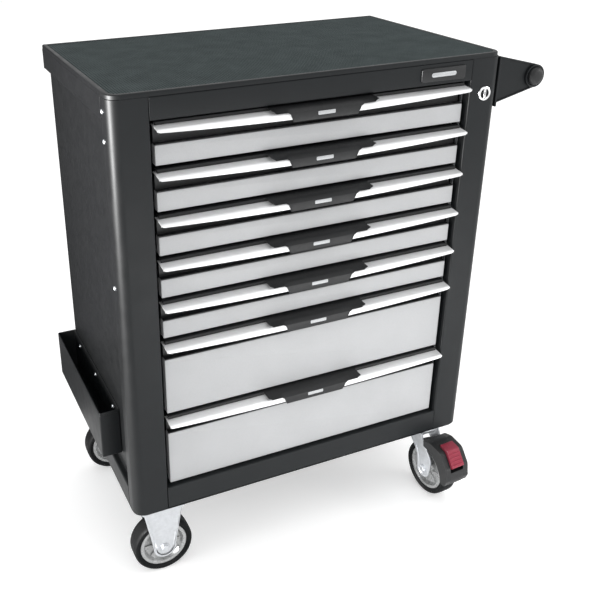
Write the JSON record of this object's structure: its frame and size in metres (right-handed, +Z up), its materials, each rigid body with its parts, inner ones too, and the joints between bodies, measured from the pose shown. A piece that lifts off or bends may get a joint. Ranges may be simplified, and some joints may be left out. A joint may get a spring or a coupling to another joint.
{
  "type": "rolling tool chest",
  "caption": "Sheet-steel rolling tool chest with sliding drawers, a ribbed rubber worktop, a side push bar, an open side tray and braked swivel casters.",
  "frame": {"origin": "on the floor under the middle of the bounding box of the chest at rest, tray, push bar and casters included", "axes": "+X to the right as seen from in front of the drawers, towards the push bar; +Y to the back; +Z up. The drawers open towards -Y."},
  "size_m": [0.9194, 0.5418, 1.008],
  "materials": {
    "charcoal_paint": "smooth satin powder coat, charcoal",
    "silver_paint": "fine textured satin paint, silver grey",
    "bright_aluminium": "bright anodised, brushed along its length",
    "black_plastic": "fine grained black moulding",
    "mat_rubber": "ribbed matt rubber",
    "tyre_rubber": "solid black rubber",
    "wheel_grey": "grey moulded nylon",
    "zinc_steel": "bright zinc plate",
    "chrome_trim": "polished chrome plate",
    "red_plastic": "semi-gloss red moulding"
  },
  "bodies": {
    "cabinet": {"worktop_mat": "mat_rubber", "top_cover": "charcoal_paint", "left_side_panel": "charcoal_paint", "right_side_panel": "charcoal_paint", "back_panel": "charcoal_paint", "base_pan": "charcoal_paint", "front_left_post": "charcoal_paint", "front_right_post": "charcoal_paint", "front_header": "charcoal_paint", "front_sill": "charcoal_paint", "name_badge": "black_plastic", "left_slide_rack": "zinc_steel", "right_slide_rack": "zinc_steel", "side_tray": "charcoal_paint", "handle_bracket_front": "charcoal_paint", "handle_bracket_rear": "charcoal_paint", "push_bar": "black_plastic", "lock_housing": "chrome_trim", "front_left_caster_bracket": "zinc_steel", "rear_left_caster_bracket": "zinc_steel", "front_right_caster_top_plate": "zinc_steel", "rear_right_caster_top_plate": "zinc_steel"},
    "drawer_1": {"drawer_1_tray": "silver_paint", "drawer_1_handle": "bright_aluminium", "drawer_1_grip": "black_plastic"},
    "drawer_2": {"drawer_2_tray": "silver_paint", "drawer_2_handle": "bright_aluminium", "drawer_2_grip": "black_plastic"},
    "drawer_3": {"drawer_3_tray": "silver_paint", "drawer_3_handle": "bright_aluminium", "drawer_3_grip": "black_plastic"},
    "drawer_4": {"drawer_4_tray": "silver_paint", "drawer_4_handle": "bright_aluminium", "drawer_4_grip": "black_plastic"},
    "drawer_5": {"drawer_5_tray": "silver_paint", "drawer_5_handle": "bright_aluminium", "drawer_5_grip": "black_plastic"},
    "drawer_6": {"drawer_6_tray": "silver_paint", "drawer_6_handle": "bright_aluminium", "drawer_6_grip": "black_plastic"},
    "drawer_7": {"drawer_7_tray": "silver_paint", "drawer_7_handle": "bright_aluminium", "drawer_7_grip": "black_plastic"},
    "lock_key": {"lock_cylinder": "chrome_trim"},
    "lock_bar": {"lock_bar": "zinc_steel"},
    "front_left_wheel": {"front_left_caster_tyre": "tyre_rubber", "front_left_caster_rim": "wheel_grey"},
    "rear_left_wheel": {"rear_left_caster_tyre": "tyre_rubber", "rear_left_caster_rim": "wheel_grey"},
    "front_right_fork": {"front_right_caster_fork": "zinc_steel", "front_right_caster_brake_housing": "black_plastic"},
    "front_right_wheel": {"front_right_caster_tyre": "tyre_rubber", "front_right_caster_rim": "wheel_grey"},
    "front_right_pedal": {"front_right_caster_brake_pedal": "red_plastic"},
    "rear_right_fork": {"rear_right_caster_fork": "zinc_steel", "rear_right_caster_brake_housing": "black_plastic"},
    "rear_right_wheel": {"rear_right_caster_tyre": "tyre_rubber", "rear_right_caster_rim": "wheel_grey"},
    "rear_right_pedal": {"rear_right_caster_brake_pedal": "red_plastic"}
  },
  "joints": [
    {"name": "drawer_1_slide", "type": "slide", "parent": "cabinet", "child": "drawer_1", "axis": [0, -1, 0], "range_m": [0, 0.3]},
    {"name": "drawer_2_slide", "type": "slide", "parent": "cabinet", "child": "drawer_2", "axis": [0, -1, 0], "range_m": [0, 0.3]},
    {"name": "drawer_3_slide", "type": "slide", "parent": "cabinet", "child": "drawer_3", "axis": [0, -1, 0], "range_m": [0, 0.3]},
    {"name": "drawer_4_slide", "type": "slide", "parent": "cabinet", "child": "drawer_4", "axis": [0, -1, 0], "range_m": [0, 0.3]},
    {"name": "drawer_5_slide", "type": "slide", "parent": "cabinet", "child": "drawer_5", "axis": [0, -1, 0], "range_m": [0, 0.3]},
    {"name": "drawer_6_slide", "type": "slide", "parent": "cabinet", "child": "drawer_6", "axis": [0, -1, 0], "range_m": [0, 0.3]},
    {"name": "drawer_7_slide", "type": "slide", "parent": "cabinet", "child": "drawer_7", "axis": [0, -1, 0], "range_m": [0, 0.3]},
    {"name": "key_turn", "type": "hinge", "parent": "cabinet", "child": "lock_key", "pos_m": [0.30125, -0.18907, 0.933], "axis": [0, 1, 0], "range_deg": [0, 90]},
    {"name": "lock_bar_lift", "type": "slide", "parent": "cabinet", "child": "lock_bar", "axis": [0, 0, 1], "range_m": [0, 0.008]},
    {"name": "front_left_wheel_spin", "type": "hinge", "parent": "cabinet", "child": "front_left_wheel", "pos_m": [-0.36975, -0.15307, 0.0625], "axis": [0, 1, 0], "continuous": true},
    {"name": "rear_left_wheel_spin", "type": "hinge", "parent": "cabinet", "child": "rear_left_wheel", "pos_m": [-0.36975, 0.20693, 0.0625], "axis": [0, 1, 0], "continuous": true},
    {"name": "front_right_swivel", "type": "hinge", "parent": "cabinet", "child": "front_right_fork", "pos_m": [0.27825, -0.14107, 0.168], "axis": [0, 0, 1], "continuous": true},
    {"name": "front_right_wheel_spin", "type": "hinge", "parent": "front_right_fork", "child": "front_right_wheel", "pos_m": [0.28132, -0.18497, 0.0625], "axis": [0.9976, 0.0698, 0], "continuous": true},
    {"name": "front_right_brake", "type": "hinge", "parent": "front_right_fork", "child": "front_right_pedal", "pos_m": [0.28411, -0.22487, 0.1465], "axis": [0.9976, 0.0698, 0], "range_deg": [0, 9]},
    {"name": "rear_right_swivel", "type": "hinge", "parent": "cabinet", "child": "rear_right_fork", "pos_m": [0.27825, 0.20693, 0.168], "axis": [0, 0, 1], "continuous": true},
    {"name": "rear_right_wheel_spin", "type": "hinge", "parent": "rear_right_fork", "child": "rear_right_wheel", "pos_m": [0.28132, 0.16303, 0.0625], "axis": [0.9976, 0.0698, 0], "continuous": true},
    {"name": "rear_right_brake", "type": "hinge", "parent": "rear_right_fork", "child": "rear_right_pedal", "pos_m": [0.28411, 0.12313, 0.1465], "axis": [0.9976, 0.0698, 0], "range_deg": [0, 9]}
  ],
  "couplings": [
    {"joint": "key_turn", "follows": "lock_bar_lift", "rad_per_m": 196.3}
  ]
}
